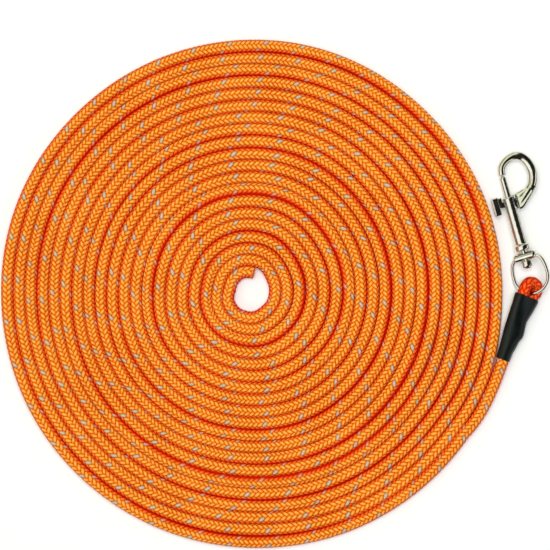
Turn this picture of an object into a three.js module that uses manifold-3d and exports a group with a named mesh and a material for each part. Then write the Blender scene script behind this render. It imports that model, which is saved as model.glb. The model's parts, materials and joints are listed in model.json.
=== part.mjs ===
// Training leash: about ten metres of round braided line wound into a flat coil, its outer end
// doubled through the ring of a swivel bolt snap and bound by a heat-shrunk sleeve.
// Millimetres, +Z up, everything lies on z = 0. +Y runs along the snap towards its hook, the coil
// lies on -X, and the origin is the middle of the snap's footprint.
import * as THREE from 'three';
import { mergeVertices } from 'three/addons/utils/BufferGeometryUtils.js';
import Module from 'manifold-3d';

const wasm = await Module();
wasm.setup();

// ---- driving dimensions ----
const gap = 0.3; // between pieces that touch

const ropeRadius = 3.65;
const eyeRopeRadius = 3.1; // the same line, squeezed where it doubles through the ring
const coilCentre = { x: -171.0, y: 2.45 };
const coilRadius = 152.2;
const coilHoleRadius = 9.5;

const sleeveWall = 0.7;
const seamThreadRadius = 0.45;
const seamLength = 14;

const snapOrigin = { x: -5.27, y: -14.16, z: 6.24 }; // middle of the collar
const snapPitch = THREE.MathUtils.degToRad(3.4); // ring end propped up on the line
const ringRoll = THREE.MathUtils.degToRad(30); // the ring lies turned on its rivet

const barrelRadius = 3.8;
const barrelTop = 31.9;
const collarRadius = 4.85;
const collarHalfHeight = 1.8;
const boreRadius = 2.2;
const hookThickness = 5.8;
const hookRounding = 1.9;

const boltRadius = 1.95;
const boltTail = 17.6;
const boltTip = 45.1;
const boltTravel = 12;
const leverPinRadius = 0.9;

const leverHeight = 28; // where the lever's neck crosses the barrel
const leverNeck = { height: 4.4, width: 2.0 };
const leverPad = { outerX: -10.7, thickness: 2.4, bottom: 22.2, top: 33.4, width: 6.4 };

const springWireRadius = 0.25;
const springCoilRadius = 1.6;
const springTurns = 9;
const springFoot = 3.1;

const shankRadius = 1.6;
const rivetHeadRadius = 3.35;
const rivetHead = { top: -8.4, bottom: -12.9 };
const rivetPlugTop = 2.2;

const ringWireRadius = 1.15;
const ringBar = { y: -5.45, radius: 2.65, halfLength: 7.2 };
const ringHalfWidth = 11.1;
const ringLowCentre = -18.35;
const ringLowRadius = 10;

// ---- finishes ----
const plated = (roughness) =>
  new THREE.MeshStandardMaterial({ color: 0xc9cbc8, metalness: 1, roughness });
const braidOrange = () =>
  new THREE.MeshStandardMaterial({ color: 0xf08219, metalness: 0, roughness: 0.8 });
const sleeveBlack = new THREE.MeshStandardMaterial({ color: 0x141f1f, metalness: 0, roughness: 0.5 });
const threadBlack = new THREE.MeshStandardMaterial({ color: 0x1c1c1c, metalness: 0, roughness: 0.9 });
const springSteel = new THREE.MeshStandardMaterial({ color: 0x9a9c9e, metalness: 1, roughness: 0.35 });

// ---- solids ----
function toSolid(geometry) {
  const bare = geometry.index ? geometry.toNonIndexed() : geometry.clone();
  bare.deleteAttribute('normal');
  bare.deleteAttribute('uv');
  const merged = mergeVertices(bare, 1e-3);
  return new wasm.Manifold(
    new wasm.Mesh({
      numProp: 3,
      vertProperties: new Float32Array(merged.attributes.position.array),
      triVerts: new Uint32Array(merged.index.array),
    })
  );
}

function toGeometry(solid) {
  const mesh = solid.getMesh();
  const geometry = new THREE.BufferGeometry();
  geometry.setAttribute('position', new THREE.BufferAttribute(mesh.vertProperties, 3));
  geometry.setIndex(new THREE.BufferAttribute(mesh.triVerts, 1));
  geometry.computeVertexNormals();
  return geometry;
}

const join = (first, ...rest) => rest.reduce((sum, piece) => sum.add(toSolid(piece)), toSolid(first));

function piece(name, geometry, material) {
  const mesh = new THREE.Mesh(geometry, material);
  mesh.name = name;
  return mesh;
}

function circle(radius, sides) {
  const shape = new THREE.Shape();
  for (let i = 0; i < sides; i += 1) {
    const angle = (2 * Math.PI * (i + 0.5)) / sides;
    const corner = [radius * Math.cos(angle), radius * Math.sin(angle)];
    if (i === 0) shape.moveTo(...corner);
    else shape.lineTo(...corner);
  }
  shape.closePath();
  return shape;
}

function tube(path, radius, sides, steps) {
  return new THREE.ExtrudeGeometry(circle(radius, sides), { steps, extrudePath: path });
}

const route = (points) =>
  new THREE.CatmullRomCurve3(points.map((p) => new THREE.Vector3(...p)), false, 'centripetal');

// A turned piece whose axis is Y: [radius, height] pairs that start and end on the axis.
function turned(profile, segments) {
  return new THREE.LatheGeometry(profile.map(([r, y]) => new THREE.Vector2(r, y)), segments);
}

const rod = (radius, bottom, top, segments) =>
  turned([[0, bottom], [radius, bottom], [radius, top], [0, top]], segments);

// ---- the line ----
function coilGeometry() {
  const section = new THREE.Shape();
  section.moveTo(coilHoleRadius + ropeRadius, 0);
  section.lineTo(coilRadius - ropeRadius, 0);
  section.absarc(coilRadius - ropeRadius, ropeRadius, ropeRadius, -Math.PI / 2, Math.PI / 2, false);
  section.lineTo(coilHoleRadius + ropeRadius, 2 * ropeRadius);
  section.absarc(coilHoleRadius + ropeRadius, ropeRadius, ropeRadius, Math.PI / 2, 1.5 * Math.PI, false);
  const profile = section.getPoints(4);
  const geometry = new THREE.LatheGeometry(profile, 56);
  geometry.rotateX(Math.PI / 2);
  geometry.translate(coilCentre.x, coilCentre.y, 0);
  return geometry;
}

// From the coil's edge through the sleeve, over the ring's low side, round, under its high side
// and back down inside the sleeve to the cut end.
const linePoints = [
  [-59.0, -106.4, 3.65],
  [-50.1, -97.2, 3.65],
  [-42.0, -87.0, 3.8],
  [-34.1, -75.4, 4.7],
  [-28.8, -67.0, 4.75],
  [-23.4, -58.2, 4.9],
  [-18.0, -49.7, 6.0],
  [-13.6, -42.7, 8.1],
  [-12.2, -40.2, 8.9],
  [-10.5, -37.6, 9.1],
  [-7.4, -35.6, 7.7],
  [-4.5, -36.6, 5.6],
  [-3.1, -39.2, 4.0],
  [-3.9, -42.8, 3.25],
  [-6.7, -46.0, 3.9],
  [-11.2, -52.6, 4.7],
  [-15.5, -59.3, 4.75],
  [-20.6, -67.3, 4.75],
];
const lineRoute = route(linePoints);
const sleeveStart = 39.0; // lengths along the line, from the coil's edge
const sleeveMouth = 79.5;

// A stretch of the line between two lengths along it.
class Stretch extends THREE.Curve {
  constructor(from, to) {
    super();
    const whole = lineRoute.getLength();
    this.from = from / whole;
    this.to = Math.min(to / whole, 1);
  }

  getPoint(share, target = new THREE.Vector3()) {
    return lineRoute.getPointAt(THREE.MathUtils.lerp(this.from, this.to, share), target);
  }
}

const lineLength = lineRoute.getLength();
const leadPath = new Stretch(0, sleeveMouth);
const eyePath = new Stretch(sleeveMouth + gap, lineLength);

// ---- the sleeve: shrunk tight over both strands, stepping in below the cut end ----
function sleeveGeometry() {
  const tailTop = [-7.2, -46.6, 4.2];
  const tailBottom = [-21.6, -69.2, 4.75];
  const standing = [];
  const tail = [];
  const stations = 5;
  const returning = new THREE.LineCurve3(new THREE.Vector3(...tailTop), new THREE.Vector3(...tailBottom));
  for (let i = 0; i < stations; i += 1) {
    const share = i / (stations - 1);
    standing.push(new Stretch(sleeveStart, sleeveMouth).getPoint(1 - share));
    tail.push(returning.getPoint(share));
  }
  const standingOuter = ropeRadius + gap + sleeveWall;
  const tailOuter = eyeRopeRadius + gap + sleeveWall;
  let shell = null;
  for (const share of [0, 0.25, 0.5, 0.75, 1]) {
    const line = standing.map((point, i) => point.clone().lerp(tail[i], share).toArray());
    const radius = THREE.MathUtils.lerp(standingOuter, tailOuter, share);
    const strand = toSolid(tube(route(line), radius, 14, 7));
    shell = shell ? shell.add(strand) : strand;
  }
  const standingBore = tube(new Stretch(0, sleeveMouth + 6), ropeRadius + gap, 12, 24);
  const tailBore = tube(new Stretch(sleeveMouth - 2, lineLength), eyeRopeRadius + gap, 12, 40);
  const cutEnd = new THREE.SphereGeometry(eyeRopeRadius + gap, 12, 8);
  cutEnd.translate(...linePoints[linePoints.length - 1]);
  for (const bore of [standingBore, tailBore, cutEnd]) shell = shell.subtract(toSolid(bore));
  for (const side of [-1, 1]) {
    const channel = seamGeometry(side, seamThreadRadius + 2 * gap, seamLength + 2 * gap);
    shell = shell.subtract(toSolid(channel));
  }
  return toGeometry(shell);
}

// Thread that closes the valley between the two strands, above (side 1) and below (side -1).
function seamGeometry(side, radius, length) {
  const middle = new THREE.Vector3(-20.1, -60.4, 4.85 + side * 2.75);
  const along = new THREE.Vector3(0.533, 0.846, 0).multiplyScalar(length / 2);
  const line = new THREE.LineCurve3(middle.clone().sub(along), middle.clone().add(along));
  return tube(line, radius, 8, 2);
}

// ---- the snap, in its own frame: Y along the barrel, origin in the middle of the collar ----
function hookOutline() {
  const hook = new THREE.Shape();
  hook.moveTo(0, 24.5);
  hook.lineTo(3.4, 23.6);
  hook.quadraticCurveTo(6.2, 21.8, 8.6, 24.0);
  hook.lineTo(15.0, 29.9);
  hook.bezierCurveTo(19.2, 34.0, 21.3, 37.6, 21.3, 42.2);
  hook.bezierCurveTo(21.3, 50.6, 17.2, 57.8, 11.0, 57.8);
  hook.bezierCurveTo(4.6, 57.8, -1.9, 55.4, -1.9, 49.4);
  hook.lineTo(-1.9, 45.5);
  hook.lineTo(2.4, 45.5);
  hook.bezierCurveTo(3.3, 50.3, 5.4, 52.5, 8.4, 52.5);
  hook.lineTo(12.0, 52.5);
  hook.bezierCurveTo(14.2, 51.6, 15.1, 47.6, 15.1, 42.6);
  hook.bezierCurveTo(15.1, 37.2, 9.8, 33.2, 2.6, 32.6);
  hook.lineTo(2.4, 31.0);
  hook.lineTo(0, 31.0);
  hook.closePath();
  return hook;
}

function snapBodyGeometry() {
  const hook = new THREE.ExtrudeGeometry(hookOutline(), {
    depth: hookThickness - 2 * hookRounding,
    bevelEnabled: true,
    bevelThickness: hookRounding,
    bevelSize: hookRounding * 0.75,
    bevelOffset: -hookRounding * 0.75,
    bevelSegments: 3,
    curveSegments: 10,
  });
  hook.translate(0, 0, -hookThickness / 2 + hookRounding);
  const barrel = turned(
    [
      [0, -collarHalfHeight],
      [collarRadius - 0.5, -collarHalfHeight],
      [collarRadius, -collarHalfHeight + 0.5],
      [collarRadius, collarHalfHeight - 0.5],
      [collarRadius - 0.5, collarHalfHeight],
      [barrelRadius, collarHalfHeight + 0.3],
      [barrelRadius, barrelTop - 0.6],
      [barrelRadius - 0.6, barrelTop],
      [0, barrelTop],
    ],
    32
  );
  const bore = rod(boreRadius, -collarHalfHeight - 1, barrelTop + 2, 24);
  const slotTop = leverHeight + leverNeck.height / 2 + gap;
  const slotBottom = leverHeight - leverNeck.height / 2 - boltTravel - gap;
  const slot = new THREE.BoxGeometry(barrelRadius + 1, slotTop - slotBottom, leverNeck.width + 2 * gap);
  slot.translate(-(barrelRadius + 1) / 2, (slotTop + slotBottom) / 2, 0);
  return toGeometry(join(barrel, hook).subtract(toSolid(bore)).subtract(toSolid(slot)));
}

function boltGeometry() {
  const pin = turned(
    [
      [0, boltTail],
      [boltRadius - 0.3, boltTail],
      [boltRadius, boltTail + 0.3],
      [boltRadius, boltTip - 1.2],
      [boltRadius - 0.5, boltTip - 0.3],
      [boltRadius - 1.2, boltTip],
      [0, boltTip],
    ],
    24
  );
  const crossHole = rod(leverPinRadius + 0.15, 0, boltRadius + 1, 12);
  crossHole.rotateZ(Math.PI / 2);
  crossHole.translate(0.4, leverHeight, 0);
  return toGeometry(toSolid(pin).subtract(toSolid(crossHole)));
}

function leverGeometry() {
  const padHeight = leverPad.top - leverPad.bottom;
  const corner = 1.6;
  const face = new THREE.Shape();
  face.moveTo(-leverPad.width / 2 + corner, -padHeight / 2);
  face.lineTo(leverPad.width / 2 - corner, -padHeight / 2);
  face.quadraticCurveTo(leverPad.width / 2, -padHeight / 2, leverPad.width / 2, -padHeight / 2 + corner);
  face.lineTo(leverPad.width / 2, padHeight / 2 - corner);
  face.quadraticCurveTo(leverPad.width / 2, padHeight / 2, leverPad.width / 2 - corner, padHeight / 2);
  face.lineTo(-leverPad.width / 2 + corner, padHeight / 2);
  face.quadraticCurveTo(-leverPad.width / 2, padHeight / 2, -leverPad.width / 2, padHeight / 2 - corner);
  face.lineTo(-leverPad.width / 2, -padHeight / 2 + corner);
  face.quadraticCurveTo(-leverPad.width / 2, -padHeight / 2, -leverPad.width / 2 + corner, -padHeight / 2);
  const rounding = 0.6;
  const pad = new THREE.ExtrudeGeometry(face, {
    depth: leverPad.thickness - 2 * rounding,
    bevelEnabled: true,
    bevelThickness: rounding,
    bevelSize: rounding,
    bevelOffset: -rounding,
    bevelSegments: 2,
    curveSegments: 4,
  });
  pad.rotateY(Math.PI / 2);
  pad.translate(leverPad.outerX + rounding, (leverPad.top + leverPad.bottom) / 2, 0);
  const neckEnd = -boltRadius - gap;
  const neckStart = leverPad.outerX + leverPad.thickness / 2;
  const neck = new THREE.BoxGeometry(neckEnd - neckStart, leverNeck.height, leverNeck.width);
  neck.translate((neckEnd + neckStart) / 2, leverHeight, 0);
  const pinLength = -neckEnd + 0.2;
  const pin = rod(leverPinRadius, 0, pinLength, 12);
  pin.rotateZ(Math.PI / 2);
  pin.translate(neckEnd + pinLength - 0.2, leverHeight, 0);
  return toGeometry(join(pad, neck, pin));
}

function springGeometry() {
  const height = boltTail - gap - springWireRadius - (springFoot + springWireRadius);
  const points = [];
  const perTurn = 10;
  for (let i = 0; i <= springTurns * perTurn; i += 1) {
    const angle = (2 * Math.PI * i) / perTurn;
    const y = springFoot + springWireRadius + (height * i) / (springTurns * perTurn);
    points.push([springCoilRadius * Math.cos(angle), y, springCoilRadius * Math.sin(angle)]);
  }
  return tube(route(points), springWireRadius, 6, springTurns * perTurn);
}

function rivetGeometry() {
  return turned(
    [
      [0, rivetHead.bottom],
      [rivetHeadRadius - 1.6, rivetHead.bottom],
      [rivetHeadRadius - 0.4, rivetHead.bottom + 0.7],
      [rivetHeadRadius, rivetHead.bottom + 1.6],
      [rivetHeadRadius, rivetHead.top],
      [shankRadius, rivetHead.top],
      [shankRadius, -collarHalfHeight + 0.2],
      [boreRadius - 0.15, -collarHalfHeight + 0.2],
      [boreRadius - 0.15, rivetPlugTop],
      [0, rivetPlugTop],
    ],
    24
  );
}

function ringGeometry() {
  const cornerTop = ringBar.y - 0.6;
  const side = ringHalfWidth;
  const loop = new THREE.CurvePath();
  const at = (x, y) => new THREE.Vector3(x, y, 0);
  const low = ringLowCentre;
  const reach = 0.5523;
  const bezier = (a, b, c, d) => loop.add(new THREE.CubicBezierCurve3(a, b, c, d));
  const shoulder = 5.2;
  loop.add(new THREE.LineCurve3(at(-shoulder, cornerTop), at(shoulder, cornerTop)));
  bezier(at(shoulder, cornerTop), at(side - 2.0, cornerTop), at(side, cornerTop - 3.6), at(side, low));
  bezier(
    at(side, low),
    at(side, low - ringLowRadius * reach),
    at(side * reach, low - ringLowRadius),
    at(0, low - ringLowRadius)
  );
  bezier(
    at(0, low - ringLowRadius),
    at(-side * reach, low - ringLowRadius),
    at(-side, low - ringLowRadius * reach),
    at(-side, low)
  );
  bezier(at(-side, low), at(-side, cornerTop - 3.6), at(-side + 2.0, cornerTop), at(-shoulder, cornerTop));
  const samples = 48;
  const closed = [];
  for (let i = 0; i < samples; i += 1) closed.push(loop.getPointAt(i / samples));
  const wirePath = new THREE.CatmullRomCurve3(closed, true, 'centripetal');
  const wire = tube(wirePath, ringWireRadius, 10, samples);
  const bar = turned(
    [
      [0, -ringBar.halfLength],
      [ringBar.radius - 1.0, -ringBar.halfLength],
      [ringBar.radius, -ringBar.halfLength + 1.2],
      [ringBar.radius, ringBar.halfLength - 1.2],
      [ringBar.radius - 1.0, ringBar.halfLength],
      [0, ringBar.halfLength],
    ],
    20
  );
  bar.rotateZ(Math.PI / 2);
  bar.translate(0, ringBar.y, 0);
  const hole = rod(shankRadius + gap, ringBar.y - 4, ringBar.y + 4, 24);
  const ring = toGeometry(join(wire, bar).subtract(toSolid(hole)));
  ring.rotateY(-ringRoll);
  return ring;
}

// ---- assembly ----
const leash = new THREE.Group();

leash.add(piece('rope_coil', coilGeometry(), braidOrange()));
leash.add(piece('rope_lead', tube(leadPath, ropeRadius, 12, 30), braidOrange()));
leash.add(piece('rope_eye', tube(eyePath, eyeRopeRadius, 12, 44), braidOrange()));
leash.add(piece('eye_seam_upper', seamGeometry(1, seamThreadRadius, seamLength), threadBlack));
leash.add(piece('eye_seam_lower', seamGeometry(-1, seamThreadRadius, seamLength), threadBlack.clone()));
leash.add(piece('heat_shrink_sleeve', sleeveGeometry(), sleeveBlack));

const snap = new THREE.Group();
snap.position.set(snapOrigin.x, snapOrigin.y, snapOrigin.z);
snap.rotation.x = -snapPitch;
snap.add(piece('snap_body', snapBodyGeometry(), plated(0.12)));
snap.add(piece('bolt_pin', boltGeometry(), plated(0.2)));
snap.add(piece('thumb_lever', leverGeometry(), plated(0.15)));
snap.add(piece('return_spring', springGeometry(), springSteel));
snap.add(piece('swivel_rivet', rivetGeometry(), plated(0.18)));
snap.add(piece('swivel_ring', ringGeometry(), plated(0.12)));
leash.add(snap);

export default leash;
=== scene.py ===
"""A training leash: a long braided line laid in a flat spiral, with a swivel snap on a bound eye."""

import json
import math

import bmesh
import bpy
import numpy as np
from mathutils import Matrix, Vector


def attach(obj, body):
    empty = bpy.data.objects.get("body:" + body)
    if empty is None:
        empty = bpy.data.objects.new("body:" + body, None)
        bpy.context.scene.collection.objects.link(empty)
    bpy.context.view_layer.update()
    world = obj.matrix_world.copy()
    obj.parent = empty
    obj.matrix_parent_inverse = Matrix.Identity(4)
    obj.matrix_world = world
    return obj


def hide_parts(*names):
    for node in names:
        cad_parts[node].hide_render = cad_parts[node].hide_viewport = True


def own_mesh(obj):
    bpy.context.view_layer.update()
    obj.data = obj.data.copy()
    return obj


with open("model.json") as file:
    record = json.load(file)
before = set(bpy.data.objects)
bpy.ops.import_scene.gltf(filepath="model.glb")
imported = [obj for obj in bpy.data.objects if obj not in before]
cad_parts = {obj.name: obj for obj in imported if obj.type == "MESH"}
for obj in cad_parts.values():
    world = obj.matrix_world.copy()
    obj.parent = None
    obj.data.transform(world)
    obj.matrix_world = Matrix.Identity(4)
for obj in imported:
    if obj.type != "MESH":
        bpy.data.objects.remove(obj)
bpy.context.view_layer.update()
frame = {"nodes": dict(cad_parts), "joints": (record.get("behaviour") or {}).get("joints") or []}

scene = bpy.context.scene

# The camera looks straight down on the leash with a long lens, so that the coil stays round.
# It is turned so that the snap hangs from upper left to lower right beside the coil.
camera_turn = math.radians(-15.5)
camera_height = 1.118
camera_centre = (-0.1544, 0.0101)
camera_data = bpy.data.cameras.new("camera")
camera_data.lens = 120
camera_data.sensor_width = 36
camera = bpy.data.objects.new("camera", camera_data)
camera.location = (*camera_centre, camera_height)
camera.rotation_euler = (0, 0, camera_turn)
scene.collection.objects.link(camera)
scene.camera = camera


# The line is a kernmantle cord: a bundle of filament cores inside a braided polypropylene sheath.
# Its core is one continuous cord, which leaves the sleeve's mouth by the ring, goes down
# through the sleeve and winds clockwise inwards to a bare end that is cut with a hot knife.
class Wire:
    """A socket of a node tree. Arithmetic on it adds Math nodes, and node() adds any other kind."""

    def __init__(self, tree, socket=None):
        self.tree = tree
        self.socket = socket

    def node(self, kind, settings=None, inputs=None, output=0):
        made = self.tree.nodes.new("ShaderNode" + kind)
        for name, value in (settings or {}).items():
            if name == "stops":
                stops = made.color_ramp.elements
                while len(stops) < len(value):
                    stops.new(0.5)
                for stop, (place, colour) in zip(stops, value):
                    stop.position = place
                    stop.color = colour
            else:
                setattr(made, name, value)
        for name, value in (inputs or {}).items():
            if isinstance(value, Wire):
                self.tree.links.new(value.socket, made.inputs[name])
            else:
                made.inputs[name].default_value = value
        return Wire(self.tree, made.outputs[output])

    def maths(self, operation, *values):
        return self.node("Math", {"operation": operation}, dict(enumerate(values)))

    def blended(self, low, high):
        """The colour between low and high that this value picks."""
        return self.node("Mix", {"data_type": "RGBA"}, {0: self, 6: low, 7: high}, 2)

    def feed(self, shader, name):
        self.tree.links.new(self.socket, shader.inputs[name])

    def __add__(self, other):
        return self.maths("ADD", self, other)

    def __sub__(self, other):
        return self.maths("SUBTRACT", self, other)

    def __rsub__(self, other):
        return self.maths("SUBTRACT", other, self)

    def __mul__(self, other):
        return self.maths("MULTIPLY", self, other)

    def __mod__(self, other):
        return self.maths("FLOORED_MODULO", self, other)

    def __pow__(self, other):
        return self.maths("POWER", self, other)

    def __lt__(self, other):
        return self.maths("LESS_THAN", self, other)

    __radd__ = __add__
    __rmul__ = __mul__


def paint(red, green, blue):
    """A colour of 0 to 255 steps as the linear values that a shader takes."""
    parts = [step / 255 for step in (red, green, blue)]
    linear = [c / 12.92 if c <= 0.04045 else ((c + 0.055) / 1.055) ** 2.4 for c in parts]
    return (*linear, 1)


def finish(name, settings):
    """A new material, the start of its maths, and its shader with the sockets that stay the same."""
    made = bpy.data.materials.new(name)
    made.use_nodes = True
    shader = made.node_tree.nodes["Principled BSDF"]
    for socket, value in settings.items():
        shader.inputs[socket].default_value = value
    return made, Wire(made.node_tree), shader


def add_piece(name, data, material, body, slot, *nodes):
    """Puts a finished mesh or curve on its CAD body, in place of the CAD solids that it stands for."""
    piece = bpy.data.objects.new(name, data)
    scene.collection.objects.link(piece)
    data.materials.clear()
    data.materials.append(material)
    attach(piece, body)
    if nodes:
        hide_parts(*nodes)
    return piece


line_radius = 0.00365
core_radius = 0.0030
braid_lead = 0.0242
rings_per_lead = 36
ring_step = braid_lead / rings_per_lead

# mouth of the sleeve, lower end of the sleeve, and out to the coil's edge
lead_points = [
    (-0.0136, -0.0427, 0.0081),
    (-0.0180, -0.0497, 0.0060),
    (-0.0234, -0.0582, 0.0049),
    (-0.0288, -0.0670, 0.00475),
    (-0.0341, -0.0754, 0.0047),
    (-0.0421, -0.0869, 0.0038),
    (-0.0502, -0.0969, 0.00365),
    (-0.0590, -0.1059, 0.00365),
]
coil_outer_centre = np.array((-0.1687, 0.00385))
coil_inner_centre = np.array((-0.17265, 0.00444))
coil_turns = 19.75
coil_first_turn = 0.054
coil_samples = 60000
coil_radius = 0.1539
coil_pitch = 0.00727
coil_start_angle = math.radians(-30.6)
oval_growth = 0.0013
oval_angle = math.radians(15.5)
coil_lead_in = 200
route_steps = 60


def smooth_route(points, steps=route_steps):
    """A smooth curve through the points, as many short straight steps."""
    points = np.array(points, float)
    ends = [2 * points[0] - points[1], 2 * points[-1] - points[-2]]
    points = np.vstack([ends[:1], points, ends[1:]])
    route = []
    for p0, p1, p2, p3 in zip(points, points[1:], points[2:], points[3:]):
        t1 = np.linalg.norm(p1 - p0) ** 0.5
        t2 = t1 + np.linalg.norm(p2 - p1) ** 0.5
        t3 = t2 + np.linalg.norm(p3 - p2) ** 0.5
        t = np.linspace(t1, t2, steps, endpoint=False)[:, None]
        a1 = ((t1 - t) * p0 + t * p1) / t1
        a2 = ((t2 - t) * p1 + (t - t1) * p2) / (t2 - t1)
        a3 = ((t3 - t) * p2 + (t - t2) * p3) / (t3 - t2)
        b1 = ((t2 - t) * a1 + t * a2) / t2
        b2 = ((t3 - t) * a2 + (t - t1) * a3) / (t3 - t1)
        route.append(((t2 - t) * b1 + (t - t1) * b2) / (t2 - t1))
    route.append(points[-2:-1])
    return np.vstack(route)


def even_steps(route, step):
    """The same route with its points one step apart."""
    run = np.concatenate([[0], np.cumsum(np.linalg.norm(np.diff(route, axis=0), axis=1))])
    marks = np.arange(0, run[-1], step)
    return np.stack([np.interp(marks, run, axis) for axis in route.T], axis=1)


turn = np.linspace(coil_first_turn, coil_turns, coil_samples)
inward = turn / coil_turns
angle = coil_start_angle - 2 * math.pi * turn
radius = coil_radius - coil_pitch * turn
radius += oval_growth * (np.sin(angle + oval_angle) * inward) ** 2
# a hand-laid coil wanders a little, and each turn follows the turn outside it
random = np.random.default_rng(7)
for waves, size in ((2, 0.00030), (3, 0.00028), (5, 0.00018), (8, 0.00010)):
    start, drift = random.uniform(0, 2 * math.pi), random.uniform(-2.5, 2.5)
    onset = np.minimum(1, 3 * (turn - coil_first_turn))
    radius += size * onset * np.sin(waves * angle + start + drift * inward)
# the outer turns bow out towards the line where that comes in from the sleeve
bow_angle, bow_width, bow_size, bow_turns = math.radians(-37), math.radians(13), 0.0017, 5
bow_share = np.clip(1 - (turn - 1) / bow_turns, 0, 1) * (turn > 0.5)
radius += bow_size * bow_share * np.exp(2 * (np.cos(angle - bow_angle) - 1) / bow_width**2)
centre = coil_outer_centre + (coil_inner_centre - coil_outer_centre) * inward[:, None]
coil = np.column_stack([
    centre[:, 0] + radius * np.cos(angle),
    centre[:, 1] + radius * np.sin(angle),
    np.full_like(turn, line_radius),
])
# the lead runs on into the coil, which takes over at its own first point
coil_join = [tuple(coil[0]), tuple(coil[coil_lead_in])]
lead_route = smooth_route(lead_points + coil_join)[:-route_steps]
line_route = even_steps(np.vstack([lead_route, coil[1:]]), ring_step)


def tube(name, route, radius, sides, twist="Z_UP", caps=False):
    """A round cord along a route, as a curve of one open spline."""
    curve = bpy.data.curves.new(name, "CURVE")
    curve.dimensions = "3D"
    curve.bevel_depth = radius
    curve.bevel_resolution = (sides - 4) // 2
    curve.twist_mode = twist
    curve.use_fill_caps = caps
    spline = curve.splines.new("POLY")
    spline.points.add(len(route) - 1)
    spline.points.foreach_set("co", np.column_stack([route, np.ones(len(route))]).ravel())
    return curve


def settled(name, data, *steps):
    """The mesh of a curve or a mesh after its modifiers, each given as its type and settings."""
    blank = bpy.data.objects.new(name, data)
    scene.collection.objects.link(blank)
    for kind, settings in steps:
        modifier = blank.modifiers.new(kind.lower(), kind)
        for setting, value in settings.items():
            setattr(modifier, setting, value)
    graph = bpy.context.evaluated_depsgraph_get()
    mesh = bpy.data.meshes.new_from_object(blank.evaluated_get(graph))
    bpy.data.objects.remove(blank)
    mesh.name = name
    return mesh


core_finish, nodes, shader = finish("nylon_core", {"Roughness": 0.7})
place = nodes.node("TexCoord", {}, {}, "Object")
strands = nodes.node("TexNoise", {}, {"Vector": place, "Scale": 900.0, "Detail": 3.0})
strands.blended(paint(214, 208, 196), paint(250, 246, 238)).feed(shader, "Base Color")
core_step = 6
core_curve = tube("line_core", line_route[::core_step], core_radius, 6, caps=True)
line_core = add_piece("line_core", core_curve, core_finish, "line", "braid")


# The sheath is braided from sixteen yarn carriers, eight each way, over two and under two.
# One carrier is a silver-grey tracer, which shows as a fleck once in each lead of the braid.
# It is dyed polypropylene, and it is modelled in lengths that follow each other along the core.
carriers = 8
braid_start = 3 / 32
top_turn = 1 / 4 - braid_start
sheath_sides = 24
sheath_radius = 0.00370
relief = 0.00042
relief_mean = 0.55
yarn_roundness = 0.6
float_end = 0.35
lead_drift = 0.35
turn_drift = 0.05
sheath_lengths = 4


def braid_height(around, along):
    """How far the crossing yarns stand up, from 0 in the gaps to 1 on a yarn's crown."""
    a, b = carriers * (around + along), carriers * (around - along)
    step = (np.floor(a) + np.floor(b)) % 4
    right_hand = step < 2
    across = np.where(right_hand, a % 1, b % 1)
    run = np.where(right_hand, step + b % 1, step - 2 + a % 1) / 2
    crown = (4 * across * (1 - across)) ** yarn_roundness
    return crown * (float_end + (1 - float_end) * 4 * run * (1 - run))


def wander(rings, size):
    """The slow drift of a braid along its line, where it was laid tighter or looser."""
    along = rings * ring_step
    waves = ((7.3, 1.0), (12.1, 4.0), (3.1, 0.0))
    return size * sum(np.sin(rate * along + start) for rate, start in waves) / 1.5


def braided(name, route, first_ring, size=(sheath_radius, sheath_radius)):
    """A braided tube along a route, as a mesh, whose map holds turns around and leads along."""
    sides = sheath_sides
    mesh = settled(name, tube(name, route, 1.0, sides))
    points = np.empty(len(mesh.vertices) * 3, np.float32)
    mesh.vertices.foreach_get("co", points)
    spokes = points.reshape(len(route), sides, 3) - route[:, None, :]
    rings = first_ring + np.arange(len(route))
    along = rings / rings_per_lead + wander(rings, lead_drift)
    around = np.arange(1, sides + 1)[None, :] / sides
    lay = around - braid_start + wander(rings, turn_drift)[:, None]
    height = relief * (braid_height(lay, along[:, None]) - relief_mean)
    wide, tall = size[0] * np.cos(2 * math.pi * around), size[1] * np.sin(2 * math.pi * around)
    oval = np.sqrt(wide**2 + tall**2)
    points = route[:, None, :] + spokes * (oval + height)[:, :, None]
    mesh.vertices.foreach_set("co", points.astype(np.float32).ravel())
    corner = np.empty(len(mesh.loops), np.int32)
    mesh.loops.foreach_get("vertex_index", corner)
    ring, side = corner // sides, corner % sides
    # a face that closes the round starts again from 0, so that its map doesn't run backwards
    closing = np.ptp(side.reshape(-1, 4), axis=1) > 1
    spoke = np.where(np.repeat(closing, 4) & (side == sides - 1), 0, side + 1)
    while mesh.uv_layers:
        mesh.uv_layers.remove(mesh.uv_layers[0])
    weave = mesh.uv_layers.new(name="weave")
    map_u = spoke / sides - braid_start + wander(first_ring + ring, turn_drift)
    weave.uv.foreach_set("vector", np.column_stack([map_u, along[ring]]).astype(np.float32).ravel())
    mesh.polygons.foreach_set("use_smooth", np.ones(len(mesh.polygons), bool))
    return mesh


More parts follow.
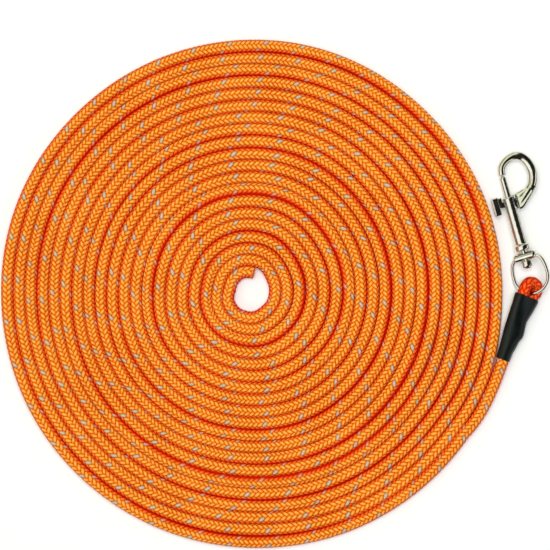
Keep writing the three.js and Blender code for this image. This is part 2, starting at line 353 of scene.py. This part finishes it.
def braid_finish(name, gap_shade, yarn, crown, flank_gap_shade, flank_shade, tracer, tracer_gap_shade):
    """Dyed braided polypropylene with fine filaments and one tracer carrier, under painted light and
    shade:
    painted highlights on the yarn crowns and painted shade in the gaps between yarns. The flanks are
    painted redder and darker as shade, and the side that faces up is painted lighter as if lit from
    above."""
    made, nodes, shader = finish(name, {"Specular IOR Level": 0.12})
    weave = nodes.node("UVMap", {"uv_map": "weave"})
    around = nodes.node("SeparateXYZ", {}, {0: weave}, 0)
    along = nodes.node("SeparateXYZ", {}, {0: weave}, 1)
    a, b = carriers * (around + along), carriers * (around - along)
    step = (nodes.maths("FLOOR", a) + nodes.maths("FLOOR", b)) % 4
    right_hand = step < 1.5
    left_hand = 1 - right_hand
    across = right_hand * (a % 1) + left_hand * (b % 1)
    run = 0.5 * (right_hand * (step + b % 1) + left_hand * (step - 2 + a % 1))
    crossing = float_end + 4 * (1 - float_end) * run * (1 - run)
    height = (4 * across * (1 - across)) ** yarn_roundness * crossing
    filaments = nodes.maths("SINE", 40 * across)
    place = nodes.node("TexCoord", {}, {}, "Object")
    lint = nodes.node("TexNoise", {}, {"Vector": place, "Scale": 1400.0, "Detail": 3.0})
    wear = nodes.node("TexNoise", {}, {"Vector": place, "Scale": 60.0, "Detail": 2.0})
    lit = height + 0.06 * filaments + 0.30 * (lint - 0.5) + 0.25 * (wear - 0.5)
    # painted light: the yarns' crowns take a painted highlight, and the gaps between yarns take
    # painted shade
    dye_with_highlight_and_shade = nodes.node("ValToRGB", {"stops": [(0.10, gap_shade), (0.48, yarn), (0.95, crown)]}, {0: lit})
    # painted light: the side that faces up is painted lighter, as if lit from above, and the flanks
    # are painted redder and darker as shade
    facing_up = nodes.maths("COSINE", 2 * math.pi * (around - top_turn))
    wear_and_top_light = nodes.node(
        "MapRange", {"interpolation_type": "SMOOTHSTEP"}, {0: facing_up, 1: 0.22, 2: 0.92}
    )
    shaded_flank_dye = nodes.node("ValToRGB", {"stops": [(0.10, flank_gap_shade), (0.70, flank_shade)]}, {0: lit})
    top_lit_flank_shaded_dye = wear_and_top_light.blended(shaded_flank_dye, dye_with_highlight_and_shade)
    marked = right_hand * ((nodes.maths("FLOOR", a) % carriers) < 0.5)
    # painted shade: the tracer yarn is painted dark grey in its gaps and light grey on its crowns
    tracer_yarn = nodes.node("ValToRGB", {"stops": [(0.15, tracer_gap_shade), (0.80, tracer)]}, {0: lit})
    # the tracer is painted fainter on the shaded flanks
    (marked * (0.25 + 0.75 * wear_and_top_light)).blended(top_lit_flank_shaded_dye, tracer_yarn).feed(shader, "Base Color")
    (0.62 - 0.12 * height - 0.15 * marked).feed(shader, "Roughness")
    relief_height = height + 0.07 * filaments + 0.1 * lint
    nodes.node(
        "Bump", {}, {"Strength": 0.75, "Distance": 0.0004, "Height": relief_height}
    ).feed(shader, "Normal")
    return made


# the crown colours are painted highlights, and the colours of the gaps, the flanks and the tracer's
# gaps are painted shade
orange_braid = braid_finish(
    "orange_braid",
    gap_shade=paint(168, 44, 0),
    yarn=paint(236, 116, 8),
    crown=paint(255, 178, 76),
    flank_gap_shade=paint(150, 6, 0),
    flank_shade=paint(232, 40, 0),
    tracer=paint(204, 186, 160),
    tracer_gap_shade=paint(116, 66, 52),
)
edges = np.linspace(0, len(line_route) - 1, sheath_lengths + 1).astype(int)
for count, (first, last) in enumerate(zip(edges, edges[1:])):
    mesh = braided(f"sheath_{count + 1}", line_route[first:last + 1], first)
    add_piece(mesh.name, mesh, orange_braid, "line", "braid")
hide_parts("rope_coil", "rope_lead")

# The bare end is cut with a hot knife, which melts sheath and core into one rounded, glossy lip.
# its height past the cut and its radius, in millimetres
tip_profile = [
    (-0.60, 3.60), (0.00, 3.70), (0.25, 3.78), (0.70, 3.55), (1.00, 2.90), (1.05, 1.60), (0.90, 0.00),
]
tip_steps = 40
same_point = 1e-6


def smooth_mesh(name, shape):
    """The finished mesh of a bmesh, shaded smooth."""
    for face in shape.faces:
        face.smooth = True
    mesh = bpy.data.meshes.new(name)
    shape.to_mesh(mesh)
    shape.free()
    return mesh


fused_finish, nodes, shader = finish("fused_end", {"Roughness": 0.32})
place = nodes.node("TexCoord", {}, {}, "Object")
melt = nodes.node("TexNoise", {}, {"Vector": place, "Scale": 700.0})
melt.blended(paint(176, 62, 8), paint(222, 104, 24)).feed(shader, "Base Color")
nodes.node("Bump", {}, {"Strength": 0.4, "Distance": 0.0003, "Height": melt}).feed(shader, "Normal")
heading = Vector(line_route[-1] - line_route[-4]).normalized()
tip_turn = heading.to_track_quat("Z", "Y").to_matrix().to_4x4()
tip = bmesh.new()
rim = [tip.verts.new((out / 1000, 0, up / 1000)) for up, out in tip_profile]
edges = [tip.edges.new(pair) for pair in zip(rim, rim[1:])]
bmesh.ops.spin(
    tip,
    geom=rim + edges,
    axis=(0, 0, 1),
    cent=(0, 0, 0),
    angle=2 * math.pi,
    steps=tip_steps,
    use_merge=True,
)
bmesh.ops.remove_doubles(tip, verts=tip.verts, dist=same_point)
bmesh.ops.recalc_face_normals(tip, faces=tip.faces)
bmesh.ops.transform(tip, matrix=Matrix.Translation(line_route[-1]) @ tip_turn, verts=tip.verts)
add_piece("fused_tip", smooth_mesh("fused_tip", tip), fused_finish, "line", "braid")


# The line's other end is folded back on itself as an eye through the swivel ring. The ring's wire
# bears on the inside of the fold, and the cord flattens where it turns sharply over the wire.
eye_points = [
    (-0.0136, -0.0427, 0.0081),
    (-0.0122, -0.0402, 0.0089),
    (-0.0105, -0.0376, 0.0091),
    (-0.0074, -0.0356, 0.0077),
    (-0.0045, -0.0366, 0.0056),
    (-0.0031, -0.0392, 0.0040),
    (-0.0041, -0.0424, 0.0034),
    (-0.0067, -0.0443, 0.0038),
    (-0.0097, -0.0473, 0.0044),
    (-0.0127, -0.0506, 0.0047),
]
eye_size = (0.0036, 0.0030)
# the crown colours are painted highlights, and the colours of the gaps, the flanks and the tracer's
# gaps are painted shade
eye_braid = braid_finish(
    "eye_braid",
    gap_shade=paint(140, 20, 0),
    yarn=paint(228, 54, 6),
    crown=paint(252, 104, 40),
    flank_gap_shade=paint(110, 8, 0),
    flank_shade=paint(206, 32, 2),
    tracer=paint(232, 90, 40),
    tracer_gap_shade=paint(90, 24, 20),
)
eye_first_ring = 7
eye_route = even_steps(smooth_route(eye_points), ring_step)
eye_mesh = braided("eye", eye_route, eye_first_ring, eye_size)
add_piece("eye", eye_mesh, eye_braid, "line", "braid", "rope_eye")

# Two rows of bonded polyester thread stitch the fold's two legs together, under the sleeve.
thread_finish, nodes, shader = finish("bonded_thread", {"Roughness": 0.5})
place = nodes.node("TexCoord", {}, {}, "Object")
twist = nodes.node("TexWave", {"bands_direction": "DIAGONAL"}, {"Vector": place, "Scale": 1500.0})
twist.blended(paint(24, 24, 26), paint(60, 60, 64)).feed(shader, "Base Color")


def recoat(node, material):
    """Gives a CAD solid that stays as it is its finish."""
    solid = frame["nodes"][node]
    solid.data.materials.clear()
    solid.data.materials.append(material)


for seam in ("eye_seam_upper", "eye_seam_lower"):
    recoat(seam, thread_finish)

# A heat-shrink sleeve of black polyolefin grips both legs of the eye and the seams. It is pushed
# over them as a loose tube and shrunk with hot air, so it shows the cords' shape through its wall.
sleeve_top = Vector((-0.0169, -0.0385, 0))
sleeve_down = Vector((-0.6, -0.8, 0))
sleeve_side = Vector((0.8, -0.6, 0))
lead_lobe = 0.0045
tail_lobe = 0.0043
lobe_height = 0.0044
# distance from the mouth, left edge, right edge, and height of the line's and the tail's centres,
# in millimetres: the tail is tucked under the line, and ends where the sleeve steps in
sleeve_stations = [
    (0.0, 0.1, 15.7, 8.3, 4.7), (1.0, 0.0, 15.8, 8.1, 4.6), (3.0, 0.3, 15.6, 7.7, 4.6),
    (6.0, 0.6, 15.2, 7.0, 4.6), (9.5, 0.9, 14.7, 6.2, 4.7), (13.0, 1.2, 14.1, 5.7, 4.8),
    (15.0, 1.4, 13.9, 5.4, 4.8), (18.0, 1.7, 14.3, 5.1, 4.8), (21.0, 1.9, 14.8, 4.9, 4.8),
    (23.7, 2.1, 15.0, 4.8, 4.8), (25.5, 2.3, 14.7, 4.8, 4.8), (27.2, 2.4, 13.9, 4.7, 4.7),
    (30.0, 2.7, 13.6, 4.7, 4.7), (33.0, 3.0, 13.4, 4.7, 4.7), (34.8, 3.2, 12.9, 4.7, 4.7),
    (37.5, 3.5, 12.8, 4.7, 4.7), (40.2, 3.7, 12.7, 4.7, 4.7), (41.2, 3.7, 12.7, 4.7, 4.7),
]
sleeve_sides = 48
sleeve_wall = 0.0007
lobe_blend = 0.0011
table_gap = 0.0003
fold_depth, fold_count, fold_twist, fold_start = 0.014, 5, 0.22, 12


def sleeve_ring(distance, left, right, lead_height, tail_height):
    """One outline of the sleeve, drawn round the line and the tail of the eye together."""
    origin = sleeve_top + sleeve_down * distance / 1000
    left, right = left / 1000, right / 1000
    wide = min(tail_lobe, (right - left) / 2)
    lobes = (
        (left + lead_lobe, lead_height / 1000, lead_lobe),
        (right - wide, tail_height / 1000, wide),
    )
    outline = []
    for count in range(sleeve_sides):
        turn = 2 * math.pi * count / sleeve_sides
        out, up = math.cos(turn), math.sin(turn)
        reach = [
            side * out + height * up + math.hypot(half * out, lobe_height * up)
            for side, height, half in lobes
        ]
        # the outline follows the lobe that reaches further this way, and bridges the two
        share = 1 / (1 + math.exp((reach[0] - reach[1]) / lobe_blend))
        near, far = [
            Vector((side + half * out, height + lobe_height * up)) for side, height, half in lobes
        ]
        across, rise = near.lerp(far, share)
        folds = math.sin(fold_count * turn + distance * fold_twist)
        fold = 1 + fold_depth * folds * min(1, distance / fold_start)
        across = (across - (left + right) / 2) * fold + (left + right) / 2
        outline.append(origin + sleeve_side * across + Vector((0, 0, max(rise, table_gap))))
    return outline


shell = bmesh.new()
outline = sleeve_ring(*sleeve_stations[0])
rim = [shell.verts.new(spot) for spot in outline]
loop = [shell.edges.new((rim[count - 1], rim[count])) for count in range(sleeve_sides)]
for station in sleeve_stations[1:]:
    grown = bmesh.ops.extrude_edge_only(shell, edges=loop)["geom"]
    loop = [part for part in grown if isinstance(part, bmesh.types.BMEdge)]
    loop = [edge for edge in loop if len(edge.link_faces) == 1]
    # each new point lies on a point of the last outline, and moves on to the same point of the next
    next_outline = sleeve_ring(*station)
    for vert in {vert for edge in loop for vert in edge.verts}:
        vert.co = min(zip(outline, next_outline), key=lambda pair: (pair[0] - vert.co).length)[1]
    outline = next_outline
bmesh.ops.recalc_face_normals(shell, faces=shell.faces)
sleeve_mesh = settled(
    "sleeve",
    smooth_mesh("sleeve", shell),
    ("SOLIDIFY", {"thickness": sleeve_wall, "offset": -1}),
    ("SUBSURF", {"levels": 2, "render_levels": 2}),
)
sleeve_finish, nodes, shader = finish("shrunk_sleeve", {"Specular IOR Level": 0.40})
place = nodes.node("TexCoord", {}, {}, "Object")
handled = nodes.node("TexNoise", {}, {"Vector": place, "Scale": 160.0, "Detail": 4.0})
grain = nodes.node("TexNoise", {}, {"Vector": place, "Scale": 1800.0, "Detail": 2.0})
handled.blended(paint(1, 6, 6), paint(6, 17, 16)).feed(shader, "Base Color")
(0.26 + 0.24 * handled).feed(shader, "Roughness")
nodes.node(
    "Bump", {}, {"Strength": 0.35, "Distance": 0.0006, "Height": handled + 0.10 * grain}
).feed(shader, "Normal")
add_piece("sleeve", sleeve_mesh, sleeve_finish, "line", "sleeve", "heat_shrink_sleeve")


# The swivel ring is bent from plated steel wire, with its ends butted into a pierced cross bar.
def solid_copy(node):
    """A CAD solid's own shape as a bmesh, with its loose triangles joined up."""
    shape = bmesh.new()
    shape.from_mesh(frame["nodes"][node].data)
    bmesh.ops.remove_doubles(shape, verts=shape.verts, dist=same_point)
    return shape


def plated(name, shape, grain, rounds):
    """The shape's mesh with its facets and edges run smooth, as plating leaves a casting or a wire."""
    return settled(
        name,
        smooth_mesh(name, shape),
        ("REMESH", {"mode": "VOXEL", "voxel_size": grain, "use_smooth_shade": True}),
        ("SMOOTH", {"factor": 0.5, "iterations": rounds}),
    )


def plate_finish(name, low, high, roughness):
    """Bright nickel over a casting or a wire, with soft ripples, pits and patches worn by rubbing."""
    made, nodes, shader = finish(name, {"Metallic": 1.0})
    place = nodes.node("TexCoord", {}, {}, "Object")
    # on the plating this noise gives only worn patches, with no painted light
    wear_and_top_light = nodes.node("TexNoise", {}, {"Vector": place, "Scale": 240.0, "Detail": 5.0})
    ripple = nodes.node("TexNoise", {}, {"Vector": place, "Scale": 260.0, "Detail": 1.0})
    wear_and_top_light.blended(low, high).feed(shader, "Base Color")
    (roughness + 0.16 * (wear_and_top_light - 0.35)).feed(shader, "Roughness")
    nodes.node(
        "Bump", {}, {"Strength": 0.12, "Distance": 0.0005, "Height": ripple}
    ).feed(shader, "Normal")
    return made


nickel_plate = plate_finish("nickel_plate", paint(206, 203, 190), paint(232, 230, 222), 0.09)
ring_mesh = plated("ring", solid_copy("swivel_ring"), 0.00020, 8)
add_piece("ring", ring_mesh, nickel_plate, "ring", "plating", "swivel_ring")

# A steel rivet passes through the ring's bar into the foot of the snap, and is headed over below
# the bar, so that the snap can turn on it.
fine_grain = 0.00014
fine_rounds = 6
rivet_mesh = plated("rivet", solid_copy("swivel_rivet"), fine_grain, fine_rounds)
add_piece("rivet", rivet_mesh, nickel_plate, "snap", "plating", "swivel_rivet")

# The snap's body is one zinc casting: a barrel bored for the bolt, and a hook that comes back
# over the end of the bolt. It is trimmed, tumbled and plated with bright nickel.
def snap_place(x, y, z):
    """The matrix that sets a shape at a point of the snap, given in millimetres from its swivel."""
    along = Vector(swivel["axis"])
    side = Vector((1, 0, 0))
    turn = Matrix((side, along, side.cross(along))).transposed().to_4x4()
    return Matrix.Translation(swivel["pos_m"]) @ turn @ Matrix.Translation(Vector((x, y, z)) / 1000)


swivel = next(joint for joint in frame["joints"] if joint["name"] == "snap_swivel")
# the hook's middle line and its half thickness, in millimetres
hook_line = [
    (5.0, 25.4, 1.2), (8.6, 28.8, 2.0), (12.2, 32.0, 2.6), (16.2, 35.8, 3.0),
    (18.2, 42.3, 3.1), (17.4, 48.8, 3.0), (14.6, 53.4, 2.9), (10.4, 55.2, 2.75),
    (5.6, 54.1, 2.6), (1.7, 51.2, 2.45), (0.3, 47.8, 2.25), (0.25, 45.6, 2.15),
]
hook_steps = 12
hook_sides = 24
hook_cut = 34.0
web_inside, web_outside, web_foot, web_dip = 4.6, 13.5, 15.0, 0.6
body_grain = 0.00024
body_rounds = 12
hook_route = smooth_route(hook_line, hook_steps)
hook_middle = np.column_stack([hook_route[:, :2], np.zeros(len(hook_route))]) / 1000
hook_curve = tube("hook", hook_middle, 0.001, hook_sides, caps=True)
hook_curve.splines[0].points.foreach_set("radius", hook_route[:, 2])
hook_mesh = settled("hook", hook_curve)
snap_frame = snap_place(0, 0, 0)
hook_mesh.transform(snap_frame)
casting = solid_copy("snap_body")
# the web between the barrel and the hook is thinned towards the barrel
web_place = snap_place(web_inside, 0, 0)
bmesh.ops.bisect_plane(
    casting,
    geom=[*casting.verts, *casting.edges, *casting.faces],
    plane_co=web_place.translation,
    plane_no=web_place.col[0].xyz,
)
for vert in casting.verts:
    spot = snap_frame.inverted() @ vert.co * 1000
    if spot.x > web_inside - 0.01 and spot.y > web_foot:
        spot.z *= 1 - web_dip * max(0, (web_outside - spot.x) / (web_outside - web_inside))
        vert.co = snap_frame @ (spot / 1000)
# the flat hook is cut off, and the round one takes its place
cut_place = snap_place(0, hook_cut, 0)
cut = bmesh.ops.bisect_plane(
    casting,
    geom=[*casting.verts, *casting.edges, *casting.faces],
    plane_co=cut_place.translation,
    plane_no=cut_place.col[1].xyz,
    clear_outer=True,
)["geom_cut"]
bmesh.ops.holes_fill(casting, edges=[part for part in cut if isinstance(part, bmesh.types.BMEdge)])
casting.from_mesh(hook_mesh)
body_mesh = plated("snap", casting, body_grain, body_rounds)
add_piece("snap", body_mesh, nickel_plate, "snap", "plating", "snap_body")

# A coil spring of spring steel wire sits in the barrel under the bolt, and pushes it shut. It is
# wound at one length, and keeps it when the bolt is drawn back.
spring_steel = plate_finish("spring_steel", paint(120, 122, 126), paint(168, 170, 174), 0.28)
spring_wire = 0.25
spring_radius = 1.6
spring_turns = 9
spring_foot, spring_head = 3.1, 17.3
steps_per_turn = 16
spring_sides = 8
wound = np.linspace(0, 1, spring_turns * steps_per_turn + 1)
winding = 2 * math.pi * spring_turns * wound
spring_line = np.column_stack([
    spring_radius * np.cos(winding),
    spring_foot + spring_wire + (spring_head - spring_foot - 2 * spring_wire) * wound,
    spring_radius * np.sin(winding),
])
spring_mesh = settled(
    "spring",
    tube("spring", spring_line / 1000, spring_wire / 1000, spring_sides, "MINIMUM", caps=True),
)
spring_mesh.transform(snap_frame)
spring = add_piece("spring", spring_mesh, spring_steel, "snap", "spring_steel", "return_spring")
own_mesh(spring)

# The bolt is a plated steel pin that closes the hook's mouth. A cast thumb lever is pressed on it
# through the barrel's slot, and carries it back against the spring.
bolt_mesh = plated("bolt", solid_copy("bolt_pin"), fine_grain, fine_rounds)
add_piece("bolt", bolt_mesh, nickel_plate, "bolt", "plating", "bolt_pin")
# sizes across, along and through the snap in metres, and centres in millimetres from its swivel
pad_size = (0.0040, 0.0112, 0.0066)
pad_centre = (-8.75, 27.8, 0)
dish_rim = 0.0010
dish_depth = 0.0007
lever_rounding = 0.0007
# the neck reaches through the slot, and its shoulder runs up outside the barrel
neck_size = (0.0058, 0.0040, 0.0024)
neck_centre = (-4.6, 28.3, 0)
shoulder_size = (0.0032, 0.0056, 0.0024)
shoulder_centre = (-5.9, 30.1, 0)
lever = bmesh.new()
pad = bmesh.ops.create_cube(lever, size=1)["verts"]
bmesh.ops.scale(lever, vec=pad_size, verts=pad)
thumb_face = min(lever.faces, key=lambda face: face.calc_center_median().x)
bmesh.ops.inset_individual(lever, faces=[thumb_face], thickness=dish_rim, depth=-dish_depth)
bmesh.ops.translate(lever, vec=Vector(pad_centre) / 1000, verts=pad + list(thumb_face.verts))
for size, centre in ((neck_size, neck_centre), (shoulder_size, shoulder_centre)):
    block = bmesh.ops.create_cube(lever, size=1)["verts"]
    bmesh.ops.scale(lever, vec=size, verts=block)
    bmesh.ops.translate(lever, vec=Vector(centre) / 1000, verts=block)
bmesh.ops.bevel(
    lever,
    geom=list(lever.edges),
    offset=lever_rounding,
    affect="EDGES",
    segments=4,
    profile=0.5,
    material=-1,
)
bmesh.ops.transform(lever, matrix=snap_frame, verts=lever.verts)
lever_mesh = plated("lever", lever, fine_grain, fine_rounds)
add_piece("lever", lever_mesh, nickel_plate, "bolt", "plating", "thumb_lever")

# The leash lies on a plain white table. Long strip lights hang over it side by side, with dark
# gaps between them that give the plated parts their black and white stripes.
bpy.ops.mesh.primitive_plane_add(size=6)
floor = bpy.context.object
floor.name = "floor"
floor_finish, nodes, shader = finish("floor", {"Roughness": 0.9, "Specular IOR Level": 0.1})
place = nodes.node("TexCoord", {}, {}, "Object")
paper = nodes.node("TexNoise", {}, {"Vector": place, "Scale": 0.5})
paper.blended((0.92, 0.92, 0.915, 1), (0.94, 0.94, 0.94, 1)).feed(shader, "Base Color")
floor.data.materials.append(floor_finish)

world = bpy.data.worlds.new("studio")
world.use_nodes = True
scene.world = world
nodes = Wire(world.node_tree)
back = world.node_tree.nodes["Background"]
sky = nodes.node("TexCoord", {}, {}, "Generated")
east = nodes.node("SeparateXYZ", {}, {0: sky}, 0)
north = nodes.node("SeparateXYZ", {}, {0: sky}, 1)
rise = nodes.node("SeparateXYZ", {}, {0: sky}, 2)
strip_turn = camera_turn - math.radians(20)
across = math.cos(strip_turn) * east + math.sin(strip_turn) * north
dark = (0.015, 0.015, 0.015, 1)
grey = (0.30, 0.30, 0.27, 1)
light = (1, 1, 1, 1)
strips = nodes.node(
    "ValToRGB",
    {"stops": [
        (0.00, light),
        (0.10, grey),
        (0.13, light),
        (0.32, light),
        (0.39, (0.84, 0.86, 0.68, 1)),
        (0.415, (0.62, 0.64, 0.46, 1)),
        (0.43, dark),
        (0.84, dark),
        (0.86, light),
        (0.92, light),
        (0.94, dark),
    ]},
    {0: across * 0.5 + 0.5},
)


def studio_way(right, up, rise):
    """A direction given by the camera's right, its top, and height."""
    cos, sin = math.cos(camera_turn), math.sin(camera_turn)
    return Vector((right * cos - up * sin, right * sin + up * cos, rise))


skirt = nodes.node(
    "ValToRGB",
    {"stops": [(0.04, (0.5, 0.5, 0.5, 1)), (0.08, dark), (0.20, dark), (0.26, light)]},
    {0: rise},
)
dot, tint = {"operation": "DOT_PRODUCT"}, {"data_type": "RGBA", "blend_type": "MULTIPLY"}
room = nodes.node("Mix", tint, {0: 1.0, 6: strips, 7: skirt}, 2)
# a dark doorway at upper right, and an olive screen hung at upper left
hall = nodes.node("VectorMath", dot, {0: sky, 1: studio_way(0.60, 0.70, 0.40)}, 1)
doorway = nodes.node("MapRange", {}, {0: hall, 1: 0.88, 2: 0.92})
wall = nodes.node("VectorMath", dot, {0: sky, 1: studio_way(-0.50, 0.62, 0.60)}, 1)
screen = nodes.node("MapRange", {"interpolation_type": "SMOOTHSTEP"}, {0: wall, 1: 0.72, 2: 0.92})
hung = screen.blended(light, (0.70, 0.73, 0.50, 1))
lit_room = nodes.node("Mix", tint, {0: 1.0, 6: room, 7: hung}, 2)
doorway.blended(lit_room, dark).feed(back, "Color")
back.inputs["Strength"].default_value = 1.3

# a broad soft light straight overhead, shielded from the plated parts
overhead_data = bpy.data.lights.new("overhead", "AREA")
overhead_data.shape = "DISK"
overhead_data.size = 1.1
overhead_data.energy = 18.5
overhead = bpy.data.objects.new("overhead", overhead_data)
overhead.location = (-0.05, 0.10, 1.5)
overhead.rotation_euler = Vector((0.10, 0.09, 1.5)).to_track_quat("Z", "Y").to_euler()
overhead.visible_glossy = False
scene.collection.objects.link(overhead)
scene.view_settings.view_transform = "Standard"
